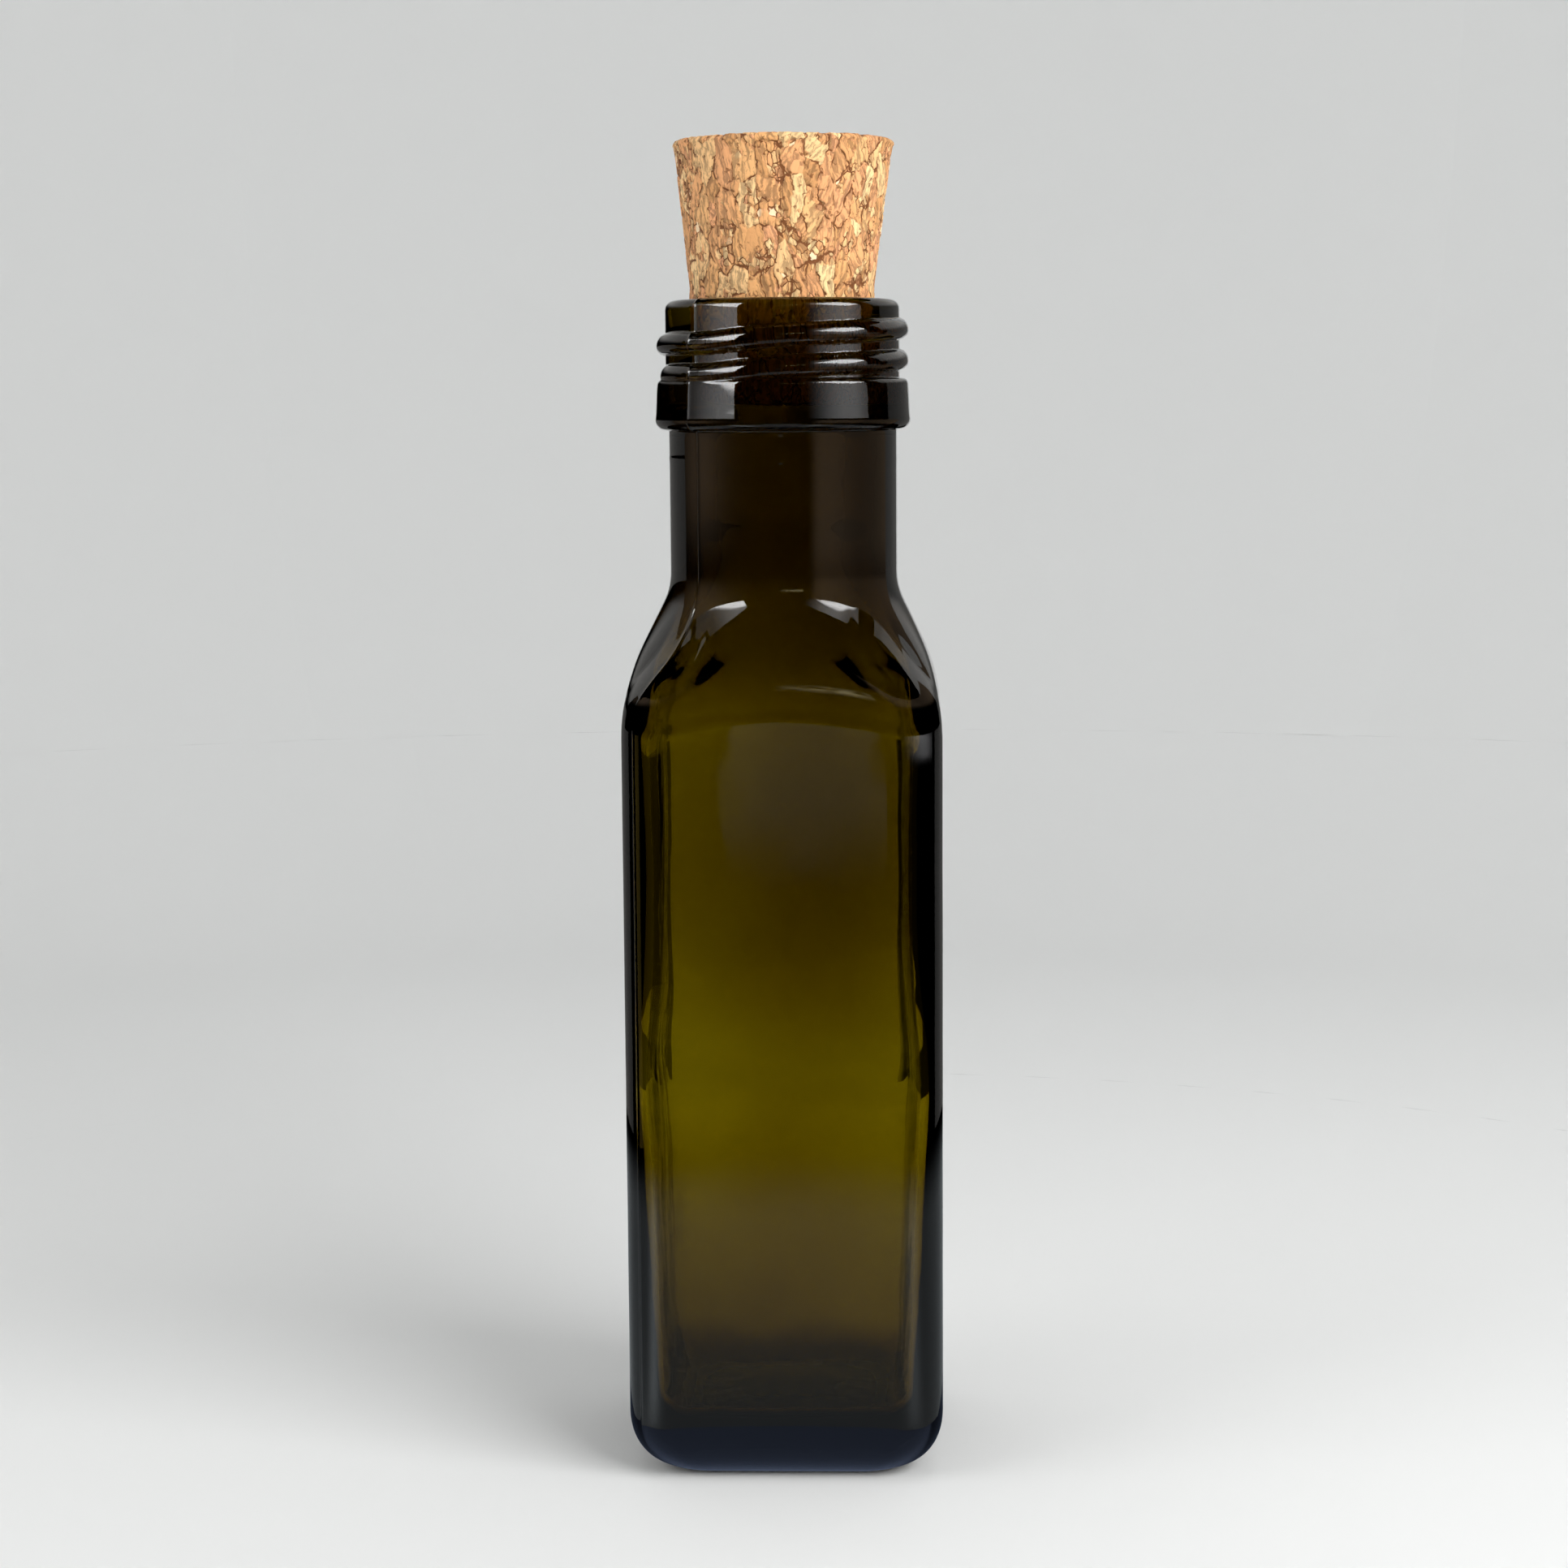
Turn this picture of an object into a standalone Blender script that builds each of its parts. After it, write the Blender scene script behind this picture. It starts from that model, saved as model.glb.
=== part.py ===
"""Square marasca bottle of dark olive glass, stopped with a tapered agglomerated cork.

Units are metres and +Z is up. The bottle stands on z = 0 with its axis on the Z axis, and its
four flat faces look along X and Y. Angles round the axis start at +X and grow towards +Y.
"""

import math

import bmesh
import bpy
from mathutils import Vector

MM = 0.001

# Body: a square with rounded corners, and a rounded heel round a shallow push-up
BODY_WIDTH = 38.2 * MM
BODY_CORNER_RADIUS = 5.9 * MM
HEEL_WIDTH = 6.0 * MM
HEEL_HEIGHT = 7.8 * MM
HEEL_CORNER_RADIUS = 5.6 * MM
BEARING_RING_WIDTH = 2.2 * MM
PUSH_UP_DEPTH = 1.2 * MM
WALL = 3.1 * MM
BASE_THICKNESS = 4.6 * MM

# Shoulder: an outward arc, a straight slope, and a fillet into the round neck
SHOULDER_START = 91.9 * MM
SHOULDER_ARC_RADIUS = 20.5 * MM
SHOULDER_SLOPE = math.radians(26)
NECK_FILLET_RADIUS = 8.0 * MM
INNER_SHOULDER_START = 88.0 * MM

# Hips: from this far above the shoulder's start, its corners round out until it is a circle
HIP_RISE = 3.9 * MM
HIP_HEIGHT = 10.4 * MM
HIP_POWER = 1.4

# Neck and screw finish, above the shoulder
NECK_RADIUS = 13.85 * MM
NECK_BORE_RADIUS = 8.7 * MM
BOTTLE_HEIGHT = 141.9 * MM
LAND_RADIUS = 14.2 * MM
LIP_ROUNDING = 1.0 * MM
MOUTH_ROUNDING = 0.6 * MM
MOUTH_RADIUS = 11.45 * MM
COLLAR_TOP = 132.5 * MM
COLLAR_BOTTOM = 126.4 * MM
COLLAR_TOP_RADIUS = 15.25 * MM
COLLAR_BOTTOM_RADIUS = 15.5 * MM
COLLAR_TOP_ROUNDING = 0.7 * MM
COLLAR_BOTTOM_ROUNDING = 1.2 * MM

# Right-hand thread: one round ridge, highest at THREAD_TOP_ANGLE, that sinks into the collar
THREAD_CREST_RADIUS = 15.3 * MM
THREAD_RIDGE_RADIUS = 1.2 * MM
THREAD_PITCH = 3.7 * MM
THREAD_HEIGHT_AT_X = 138.26 * MM
THREAD_TOP_ANGLE = math.radians(100)
THREAD_BOTTOM_ANGLE = math.radians(-570)
THREAD_STEP = math.radians(15)
THREAD_FADE_ANGLE = math.radians(50)

# Cork: a cone frustum wedged in the tapered mouth, narrow end down
CORK_TOP = 160.9 * MM
CORK_LENGTH = 31.8 * MM
CORK_TOP_RADIUS = 13.25 * MM
CORK_TAPER = 0.116
CORK_TOP_ROUNDING = 0.9 * MM
CORK_BOTTOM_ROUNDING = 0.7 * MM

# Facets: points round a section, and segments along each stretch of a profile
HEEL_SEGMENTS = 6
SHOULDER_SEGMENTS = 7
SLOPE_SEGMENTS = 4
FILLET_SEGMENTS = 4
EDGE_SEGMENTS = 3
POINTS_PER_QUARTER = 12
POINTS_ROUND = 4 * POINTS_PER_QUARTER
MERGE_DISTANCE = 0.01 * MM
SHARP_ANGLE = math.radians(40)
CUTTER_OVERRUN = 2.0 * MM

# Finishes: base colour, roughness, metallic value and transmission
GLASS_FINISH = ((0.075, 0.062, 0.006, 1.0), 0.04, 0.0, 0.85)
CORK_FINISH = ((0.56, 0.31, 0.14, 1.0), 0.85, 0.0, 0.0)


def clear_scene():
    """Remove what the file holds, so that the model starts from nothing."""
    for obj in list(bpy.data.objects):
        bpy.data.objects.remove(obj, do_unlink=True)
    for collection in list(bpy.data.collections):
        bpy.data.collections.remove(collection)


def new_collection(name):
    """Add a collection to the scene."""
    collection = bpy.data.collections.new(name)
    bpy.context.scene.collection.children.link(collection)
    return collection


def new_material(name, finish):
    """Make a Principled material from a base colour, roughness, metallic value and transmission."""
    colour, roughness, metallic, transmission = finish
    material = bpy.data.materials.new(name)
    material.use_nodes = True
    material.diffuse_color = colour
    shader = material.node_tree.nodes["Principled BSDF"]
    shader.inputs["Base Color"].default_value = colour
    shader.inputs["Roughness"].default_value = roughness
    shader.inputs["Metallic"].default_value = metallic
    shader.inputs["Transmission Weight"].default_value = transmission
    return material


def arc(centre, radius, start, end, segments, height=None):
    """Points (across, up) on an arc between two angles; height makes it an ellipse's arc."""
    rise = radius if height is None else height
    angles = [start + (end - start) * i / segments for i in range(segments + 1)]
    return [(centre[0] + radius * math.cos(a), centre[1] + rise * math.sin(a)) for a in angles]


def square_outline(half_width, corner_radius):
    """Outline of a square with rounded corners, anticlockwise; a circle if the two are equal."""
    outline = []
    inset = half_width - corner_radius
    for quarter in range(4):
        middle = math.radians(45 + 90 * quarter)
        centre = (math.copysign(inset, math.cos(middle)), math.copysign(inset, math.sin(middle)))
        # A circle's quarters end half a step early, so that its points are evenly spaced
        trim = math.radians(45) / POINTS_PER_QUARTER * (corner_radius / half_width) ** 2
        start = math.radians(90 * quarter) + trim
        end = math.radians(90 * (quarter + 1)) - trim
        outline += arc(centre, corner_radius, start, end, POINTS_PER_QUARTER - 1)
    return outline


def shoulder_sections(start_height, body_half_width, body_corner_radius, neck_radius):
    """Sections (height, half width, corner radius) up a shoulder, from the square to the round."""
    arc_centre = (body_half_width - SHOULDER_ARC_RADIUS, start_height)
    outward = arc(arc_centre, SHOULDER_ARC_RADIUS, 0.0, SHOULDER_SLOPE, SHOULDER_SEGMENTS)
    slope_start = Vector(outward[-1])
    slope_end_width = neck_radius + NECK_FILLET_RADIUS * (1 - math.cos(SHOULDER_SLOPE))
    slope_height = (slope_start.x - slope_end_width) / math.tan(SHOULDER_SLOPE)
    slope_end = Vector((slope_end_width, slope_start.y + slope_height))
    slope = [slope_start.lerp(slope_end, i / SLOPE_SEGMENTS) for i in range(1, SLOPE_SEGMENTS)]
    neck_start = slope_end.y + NECK_FILLET_RADIUS * math.sin(SHOULDER_SLOPE)
    inward = arc((neck_radius + NECK_FILLET_RADIUS, neck_start), NECK_FILLET_RADIUS,
                 math.pi + SHOULDER_SLOPE, math.pi, FILLET_SEGMENTS)

    sections = []
    for half_width, height in outward + slope + inward:
        way = (height - start_height - HIP_RISE) / HIP_HEIGHT
        roundness = math.sin(min(max(way, 0.0), 1.0) * math.pi / 2) ** HIP_POWER
        corner_radius = body_corner_radius + (half_width - body_corner_radius) * roundness
        sections.append((height, half_width, corner_radius))
    return sections


def loft(name, sections, collection, start_height, end_height):
    """Skin a closed solid over (height, half width, corner radius) sections, from bottom to top.

    The ends are closed by fans, whose middle points lie at the start and end heights.
    """
    bm = bmesh.new()
    rings = []
    for height, half_width, corner_radius in sections:
        outline = square_outline(half_width, corner_radius)
        rings.append([bm.verts.new((x, y, height)) for x, y in outline])
    for below, above in zip(rings, rings[1:]):
        for i in range(POINTS_ROUND):
            j = (i + 1) % POINTS_ROUND
            bm.faces.new((below[i], below[j], above[j], above[i]))
    bottom = bm.verts.new((0.0, 0.0, start_height))
    top = bm.verts.new((0.0, 0.0, end_height))
    for i in range(POINTS_ROUND):
        j = (i + 1) % POINTS_ROUND
        bm.faces.new((bottom, rings[0][j], rings[0][i]))
        bm.faces.new((top, rings[-1][i], rings[-1][j]))
    mesh = bpy.data.meshes.new(name)
    bm.to_mesh(mesh)
    bm.free()
    mesh.shade_smooth()
    mesh.set_sharp_from_angle(angle=SHARP_ANGLE)
    obj = bpy.data.objects.new(name, mesh)
    collection.objects.link(obj)
    return obj


def turn(name, profile, collection):
    """Turn a profile of (radius, height) points, from the top down, about the Z axis."""
    mesh = bpy.data.meshes.new(name)
    vertices = [(radius, 0.0, height) for radius, height in profile]
    edges = [(i, i + 1) for i in range(len(vertices) - 1)]
    mesh.from_pydata(vertices, edges, [])
    obj = bpy.data.objects.new(name, mesh)
    collection.objects.link(obj)
    screw = obj.modifiers.new("Turn", "SCREW")
    screw.axis = "Z"
    screw.angle = math.tau
    screw.steps = POINTS_ROUND
    screw.render_steps = POINTS_ROUND
    screw.use_smooth_shade = True
    screw.use_merge_vertices = True
    screw.merge_threshold = MERGE_DISTANCE
    return obj


def combine(target, operation, other):
    """Add a live Boolean to target, by the exact solver."""
    boolean = target.modifiers.new(f"{operation.title()} {other.name}", "BOOLEAN")
    boolean.operation = operation
    boolean.solver = "EXACT"
    boolean.object = other


def hide_helper(obj):
    """Mark an object as one that only cuts or extends another."""
    obj.hide_render = True
    obj.display_type = "WIRE"


def outer_body(collection):
    """Body, shoulder and plain neck as one solid, up to the middle of the collar."""
    flat = BODY_WIDTH / 2 - HEEL_WIDTH
    push_up_edge = flat - BEARING_RING_WIDTH
    sections = []
    for share in (0.4, 0.75):
        # Inside the ring the base rises as a parabola
        dome = PUSH_UP_DEPTH * (1 - share ** 2)
        sections.append((dome, push_up_edge * share, HEEL_CORNER_RADIUS * share))
    sections.append((0.0, push_up_edge, HEEL_CORNER_RADIUS))
    heel = arc((flat, HEEL_HEIGHT), HEEL_WIDTH, -math.pi / 2, 0.0, HEEL_SEGMENTS, HEEL_HEIGHT)
    growth = (BODY_CORNER_RADIUS - HEEL_CORNER_RADIUS) / HEEL_SEGMENTS
    for i, (half_width, height) in enumerate(heel):
        sections.append((height, half_width, HEEL_CORNER_RADIUS + growth * i))
    sections += shoulder_sections(SHOULDER_START, BODY_WIDTH / 2, BODY_CORNER_RADIUS, NECK_RADIUS)
    neck_top = (COLLAR_TOP + COLLAR_BOTTOM) / 2
    sections.append((neck_top, NECK_RADIUS, NECK_RADIUS))
    return loft("glass_bottle", sections, collection, PUSH_UP_DEPTH, neck_top)


def cavity(collection):
    """The hollow inside the bottle, from the floor to above the mouth."""
    corner = BODY_CORNER_RADIUS - WALL
    heel_width = HEEL_WIDTH - WALL
    heel_height = HEEL_HEIGHT - WALL
    heel = arc((BODY_WIDTH / 2 - HEEL_WIDTH, BASE_THICKNESS + heel_height), heel_width,
               -math.pi / 2, 0.0, EDGE_SEGMENTS + 1, heel_height)
    sections = [(height, half_width, corner) for half_width, height in heel]
    sections += shoulder_sections(INNER_SHOULDER_START, BODY_WIDTH / 2 - WALL, corner,
                                  NECK_BORE_RADIUS)
    # Up the neck the bore is straight, and from under the cork it widens with the cork's taper
    seat = CORK_TOP - CORK_LENGTH
    seat_radius = MOUTH_RADIUS - CORK_TAPER * (BOTTLE_HEIGHT - seat)
    top = BOTTLE_HEIGHT + CUTTER_OVERRUN
    edge_radius = MOUTH_RADIUS + MOUTH_ROUNDING
    edge = arc((edge_radius, BOTTLE_HEIGHT - MOUTH_ROUNDING), MOUTH_ROUNDING,
               math.pi, math.pi / 2, EDGE_SEGMENTS)
    bore = [(NECK_BORE_RADIUS, COLLAR_BOTTOM), (seat_radius, seat)] + edge[:-1]
    sections += [(height, radius, radius) for radius, height in bore + [(edge_radius, top)]]
    return loft("cavity", sections, collection, BASE_THICKNESS, top)


def screw_finish(collection):
    """Lip, threaded land and collar, turned as a solid that the cavity then pierces."""
    lip = arc((LAND_RADIUS - LIP_ROUNDING, BOTTLE_HEIGHT - LIP_ROUNDING), LIP_ROUNDING,
              math.pi / 2, 0.0, EDGE_SEGMENTS + 1)
    collar_top = arc((COLLAR_TOP_RADIUS - COLLAR_TOP_ROUNDING, COLLAR_TOP - COLLAR_TOP_ROUNDING),
                     COLLAR_TOP_ROUNDING, math.pi / 2, 0.0, EDGE_SEGMENTS)
    collar_bottom = arc((COLLAR_BOTTOM_RADIUS - COLLAR_BOTTOM_ROUNDING,
                         COLLAR_BOTTOM + COLLAR_BOTTOM_ROUNDING),
                        COLLAR_BOTTOM_ROUNDING, 0.0, -math.pi / 2, EDGE_SEGMENTS + 1)
    profile = [(0.0, BOTTLE_HEIGHT)] + lip + [(LAND_RADIUS, COLLAR_TOP)]
    profile += collar_top + collar_bottom + [(0.0, COLLAR_BOTTOM)]
    return turn("screw_finish", profile, collection)


def thread(collection):
    """A helical ridge on the land, whose ends fade into the wall."""
    count = round((THREAD_TOP_ANGLE - THREAD_BOTTOM_ANGLE) / THREAD_STEP)
    curve = bpy.data.curves.new("thread_path", "CURVE")
    curve.dimensions = "3D"
    curve.bevel_depth = THREAD_RIDGE_RADIUS
    curve.bevel_resolution = 2
    curve.use_fill_caps = True
    spline = curve.splines.new("POLY")
    spline.points.add(count)
    for i, point in enumerate(spline.points):
        angle = THREAD_BOTTOM_ANGLE + (THREAD_TOP_ANGLE - THREAD_BOTTOM_ANGLE) * i / count
        to_end = min(angle - THREAD_BOTTOM_ANGLE, THREAD_TOP_ANGLE - angle)
        sunk = THREAD_RIDGE_RADIUS * (1 - min(to_end / THREAD_FADE_ANGLE, 1.0))
        radius = THREAD_CREST_RADIUS - THREAD_RIDGE_RADIUS - sunk
        height = THREAD_HEIGHT_AT_X + THREAD_PITCH * angle / math.tau
        point.co = (radius * math.cos(angle), radius * math.sin(angle), height, 1.0)
    path = bpy.data.objects.new("thread_path", curve)
    collection.objects.link(path)

    bpy.context.view_layer.update()
    evaluated = path.evaluated_get(bpy.context.evaluated_depsgraph_get())
    mesh = bpy.data.meshes.new_from_object(evaluated)
    bm = bmesh.new()
    bm.from_mesh(mesh)
    bmesh.ops.remove_doubles(bm, verts=bm.verts, dist=MERGE_DISTANCE)
    bm.to_mesh(mesh)
    bm.free()
    mesh.shade_smooth()
    ridge = bpy.data.objects.new("thread", mesh)
    ridge.matrix_world = path.matrix_world
    collection.objects.link(ridge)
    bpy.data.objects.remove(path, do_unlink=True)
    bpy.data.curves.remove(curve)
    return ridge


def cork(collection):
    """A tapered stopper with worn edges, its narrow end down in the neck."""
    bottom = CORK_TOP - CORK_LENGTH
    bottom_radius = CORK_TOP_RADIUS - CORK_TAPER * CORK_LENGTH
    top_edge = arc((CORK_TOP_RADIUS - CORK_TOP_ROUNDING, CORK_TOP - CORK_TOP_ROUNDING),
                   CORK_TOP_ROUNDING, math.pi / 2, 0.0, EDGE_SEGMENTS)
    bottom_edge = arc((bottom_radius - CORK_BOTTOM_ROUNDING, bottom + CORK_BOTTOM_ROUNDING),
                      CORK_BOTTOM_ROUNDING, 0.0, -math.pi / 2, EDGE_SEGMENTS)
    return turn("cork_stopper", [(0.0, CORK_TOP)] + top_edge + bottom_edge + [(0.0, bottom)],
                collection)


def build():
    """Model the bottle and its cork."""
    clear_scene()
    parts = new_collection("marasca_bottle")
    helpers = new_collection("helpers")

    bottle = outer_body(parts)
    bottle.data.materials.append(new_material("olive_glass", GLASS_FINISH))
    for operation, helper in (("UNION", screw_finish(helpers)), ("UNION", thread(helpers)),
                              ("DIFFERENCE", cavity(helpers))):
        hide_helper(helper)
        combine(bottle, operation, helper)

    stopper = cork(parts)
    stopper.data.materials.append(new_material("agglomerated_cork", CORK_FINISH))


build()
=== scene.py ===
from math import ceil, cos, degrees, pi, radians, sin, sqrt, tan, tau

import bmesh
import bpy
from mathutils import Matrix, Vector


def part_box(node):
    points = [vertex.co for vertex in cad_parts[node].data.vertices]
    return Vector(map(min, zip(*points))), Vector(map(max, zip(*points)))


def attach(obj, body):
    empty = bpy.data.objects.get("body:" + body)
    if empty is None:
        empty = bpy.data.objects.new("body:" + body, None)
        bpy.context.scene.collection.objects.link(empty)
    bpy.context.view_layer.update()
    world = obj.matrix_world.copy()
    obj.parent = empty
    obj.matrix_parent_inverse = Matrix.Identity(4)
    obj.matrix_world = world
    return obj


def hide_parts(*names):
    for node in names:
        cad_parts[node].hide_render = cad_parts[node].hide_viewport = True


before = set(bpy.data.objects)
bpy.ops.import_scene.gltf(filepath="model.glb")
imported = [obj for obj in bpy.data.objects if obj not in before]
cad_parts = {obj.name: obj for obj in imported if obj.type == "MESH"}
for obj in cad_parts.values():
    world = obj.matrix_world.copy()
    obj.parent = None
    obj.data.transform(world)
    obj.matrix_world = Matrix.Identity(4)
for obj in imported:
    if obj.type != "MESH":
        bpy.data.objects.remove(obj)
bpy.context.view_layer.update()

bl_info = {
    "name": "Marasca bottle",
    "version": (1, 0, 0),
    "blender": (4, 5, 0),
    "location": "3D View > Sidebar > Marasca bottle",
    "description": "Dresses a square olive glass bottle and its cork, and lights them",
    "category": "Object",
}

MM = 0.001
GLASS_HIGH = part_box("glass_bottle")[1]
CORK_LOW, CORK_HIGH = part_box("cork_stopper")

# How much the stopper and the mouth narrow for each unit of depth
CORK_TAPER = 0.116

# The stage: how far the level floor, the sweep and the cards reach or stand from the bottle, the
# height up to which the glass shows the sweep only straight behind, and the softboxes
LEVEL_FLOOR = 0.34
SWEEP_REACH = 0.72
SWEEP_TOP = 1.0
LOW_SWEEP = 0.036
TABLE_REACH = 0.19
CARD_REACH = 0.5
FRONT_REACH = 0.55
FLAG_REACH = 0.045
SOFTBOX_BOTTOM = 0.137
SOFTBOX_BRIGHTNESS = 12.0

# Points round a section, for an eighth of a turn: across the flat, round the corner, at the seam
FLAT_STEPS = 22
CORNER_STEPS = 9
CORNER_FOLD = radians(34.6)
CORNER_END = radians(44.3)
SEAM_FOLDS = (radians(44.55), radians(44.8))

# The bottle's settings that its relief takes as inputs of the same name
RELIEF_INPUTS = ("Thread Crest", "Thread Ridge", "Thread Pitch", "Thread Height", "Thread Top",
                 "Thread Bottom", "Thread Dip", "Seam Height", "Ring Line", "Wave Depth",
                 "Low Extra")


def number(name, description, default, precision=4, **more):
    """A plain number."""
    return bpy.props.FloatProperty(name=name, description=description, default=default,
                                   precision=precision, **more)


def length(name, description, default_mm):
    """A length that the panel shows in the scene's units, from its default in millimetres."""
    return number(name, description, default_mm * MM, 5, unit="LENGTH", subtype="DISTANCE")


def angle(name, description, default_degrees):
    """An angle, from its default in degrees."""
    return number(name, description, radians(default_degrees), 2, subtype="ANGLE")


def colour(name, description, default):
    """A linear colour."""
    return bpy.props.FloatVectorProperty(name=name, description=description, default=default,
                                         subtype="COLOR", size=3, min=0.0, max=1.0)


class GlassSettings(bpy.types.PropertyGroup):
    """Sizes of the blown bottle and the colour of its glass."""

    wall: length("Wall", "Thickness of the body's walls", 3.1)
    base_thickness: length("Base", "Thickness of the base at its ring", 5.5)
    corner_radius: length("Corner radius", "Radius of the body's four upright corners", 5.9)
    inner_corner: length("Inner corner", "Radius of the upright corners inside", 2.7)
    low_extra: length("Low extra", "How much thicker the base and the lowest walls are", 1.1)
    heel_width: length("Heel width", "How far the rounded heel reaches in under the body", 6.0)
    heel_height: length("Heel height", "Height of the rounded heel", 7.8)
    ring_width: length("Bearing ring", "Width of the flat ring that the bottle stands on", 2.2)
    push_up: length("Push-up", "Depth of the hollow under the base", 1.2)
    shoulder_start: length("Shoulder", "Height where the faces start to turn inwards", 91.9)
    inner_shoulder_start: length("Inner shoulder", "The same height on the inner wall", 91.6)
    shoulder_radius: length("Shoulder radius", "Radius of the shoulder's outward arc", 20.5)
    shoulder_slope: angle("Shoulder slope", "Slope of the shoulder from upright", 26.0)
    neck_fillet: length("Neck fillet", "Radius where the shoulder runs into the neck", 8.0)
    hip_rise: length("Hip rise", "Height above the shoulder's start where its corners round out",
                     3.9)
    hip_height: length("Hip height", "Height over which the corners become a circle", 10.4)
    hip_power: number("Hip power", "How late the corners round out", 1.4)
    arch_drop: length("Arch", "How far the top edge of each face dips towards its corners", 1.6)
    neck_radius: length("Neck radius", "Outer radius of the plain neck", 13.85)
    neck_bore: length("Neck bore", "Inner radius of the neck", 8.2)
    collar_bottom: length("Collar bottom", "Height of the collar's underside", 126.4)
    collar_top: length("Collar top", "Height of the collar's upper side", 132.5)
    collar_radius: length("Collar radius", "Outer radius of the collar at its lower edge", 15.5)
    collar_draft: length("Collar draft", "How much narrower the collar is at its upper edge", 0.25)
    land_radius: length("Land radius", "Radius of the wall between the turns of thread", 14.2)
    mouth_radius: length("Mouth radius", "Inner radius at the lip", 11.45)
    thread_crest: length("Thread crest", "Radius over the crest of the thread", 15.3)
    thread_ridge: length("Thread ridge", "Radius of the thread's rounded ridge", 1.2)
    thread_pitch: length("Thread pitch", "Rise of the thread in one turn", 3.7)
    thread_height: length("Thread height", "Height of the upper turn where it crosses +X", 138.26)
    thread_top: angle("Thread start", "Angle from +X where the upper end runs out", 100.0)
    thread_bottom: angle("Thread end", "Angle from +X where the lower end runs out", -570.0)
    thread_dip: length("Thread dip", "How far the thread sinks beside a mould seam", 0.4)
    seam_height: length("Seam height", "How far a mould seam stands out", 0.07)
    ring_line: length("Ring line", "Height of the line between the neck mould and the body mould",
                      123.0)
    wave_depth: length("Wave depth", "How far the inner wall wanders from true", 0.32)
    tint: colour("Tint", "Share of light that the glass lets by, as its absorption's colour",
                 (0.75, 0.704, 0.0))
    density: number("Density", "Strength of the absorption for each metre of glass", 1300.0)


class CorkSettings(bpy.types.PropertyGroup):
    """Sizes of the stopper and the colours of its granules."""

    fit: length("Fit", "How much closer to the glass the stopper sits than its plain solid", 0.3)
    flake_width: length("Flake width", "Usual width of a large granule", 2.3)
    flake_height: length("Flake height", "Usual height of a large granule", 4.8)
    crevice_depth: length("Crevice depth", "Depth of the gaps between granules", 0.26)
    flare: length("Flare", "How much the top edge spreads beyond the taper", 0.24)
    lean: length("Lean", "How far the top stands off centre, towards +X", 0.28)
    seed: bpy.props.IntProperty(name="Seed", description="Picks the pattern of granules", default=7)
    # Dark is painted shade: the colour that fills the gaps and pits between granules, darkest where
    # they are deepest
    dark: colour("Dark", "Binder in the deepest gaps", (0.18, 0.060, 0.016))
    middle: colour("Middle", "Most granules", (0.73, 0.37, 0.143))
    pale: colour("Pale", "The palest granules", (0.93, 0.63, 0.31))


class StageSettings(bpy.types.PropertyGroup):
    """Where the camera stands, and how the sweep is lit."""

    camera_distance: length("Distance", "From the bottle's axis to the camera, level", 377.5)
    camera_height: length("Height", "Height of the camera above the floor", 130.4)
    camera_azimuth: angle("Azimuth", "Turn of the camera round the bottle towards +X", 1.8)
    camera_tilt: angle("Tilt", "How far the camera looks down", 7.17)
    camera_roll: angle("Roll", "Turn of the camera about its own axis", 0.41)
    camera_turn: angle("Turn", "How far the camera looks past the bottle's axis", 0.027)
    lens: number("Lens", "Focal length in millimetres on a 36 mm frame", 70.8)
    floor_colour: colour("Floor", "Colour of the floor and the sweep", (0.80, 0.805, 0.80))
    near_floor: length("Near floor", "Radius of floor that the glass shows from every side", 210.0)
    bright_right: angle("Bright right",
                        "How far right of straight back the glass shows the low sweep", 3.4)
    bright_left: angle("Bright left", "The same to the left", 14.0)
    ambient: number("Ambient", "Brightness of the light from all round", 0.22)


def clamped(value):
    """A number held between 0 and 1."""
    return min(max(value, 0.0), 1.0)


def join(tree, value, socket):
    """Give a node's input a link if value is a Field or a socket, or else a constant."""
    if isinstance(value, Field):
        tree.links.new(value.socket, socket)
    elif isinstance(value, bpy.types.NodeSocket):
        tree.links.new(value, socket)
    else:
        socket.default_value = value


class Field:
    """A number that varies over a surface; arithmetic on it adds Math nodes to its tree."""

    def __init__(self, tree, socket):
        self.tree = tree
        self.socket = socket

    def math(self, operation, *others):
        """The result of one Math node whose first input is this field."""
        node = self.tree.nodes.new("ShaderNodeMath")
        node.operation = operation
        for socket, value in zip(node.inputs, (self, *others)):
            join(self.tree, value, socket)
        return Field(self.tree, node.outputs[0])

    def __add__(self, other):
        return self.math("ADD", other)

    def __sub__(self, other):
        return self.math("SUBTRACT", other)

    def __mul__(self, other):
        return self.math("MULTIPLY", other)

    def __truediv__(self, other):
        return self.math("DIVIDE", other)

    def reversed_from(self, other):
        """other minus this field."""
        return (self * -1.0) + other

    def ramp(self, low, high):
        """0 below low, 1 above high and an even S-shaped rise between."""
        node = self.tree.nodes.new("ShaderNodeMapRange")
        node.interpolation_type = "SMOOTHSTEP"
        for name, value in (("Value", self), ("From Min", low), ("From Max", high)):
            join(self.tree, value, node.inputs[name])
        return Field(self.tree, node.outputs["Result"])

    def bell(self, width):
        """1 where this field is 0, falling to nothing a few widths away on either side."""
        scaled = self / width
        return (scaled * scaled * -1.0).math("EXPONENT")


def add_node(tree, kind, inputs=None, **settings):
    """Add a node, set its properties, and join or set its inputs by name or number."""
    node = tree.nodes.new(kind)
    for name, value in settings.items():
        setattr(node, name, value)
    for key, value in (inputs or {}).items():
        join(tree, value, node.inputs[key])
    return node


def split(tree, vector):
    """A vector's three parts as fields."""
    parts = add_node(tree, "ShaderNodeSeparateXYZ", {0: vector})
    return [Field(tree, socket) for socket in parts.outputs]


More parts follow.
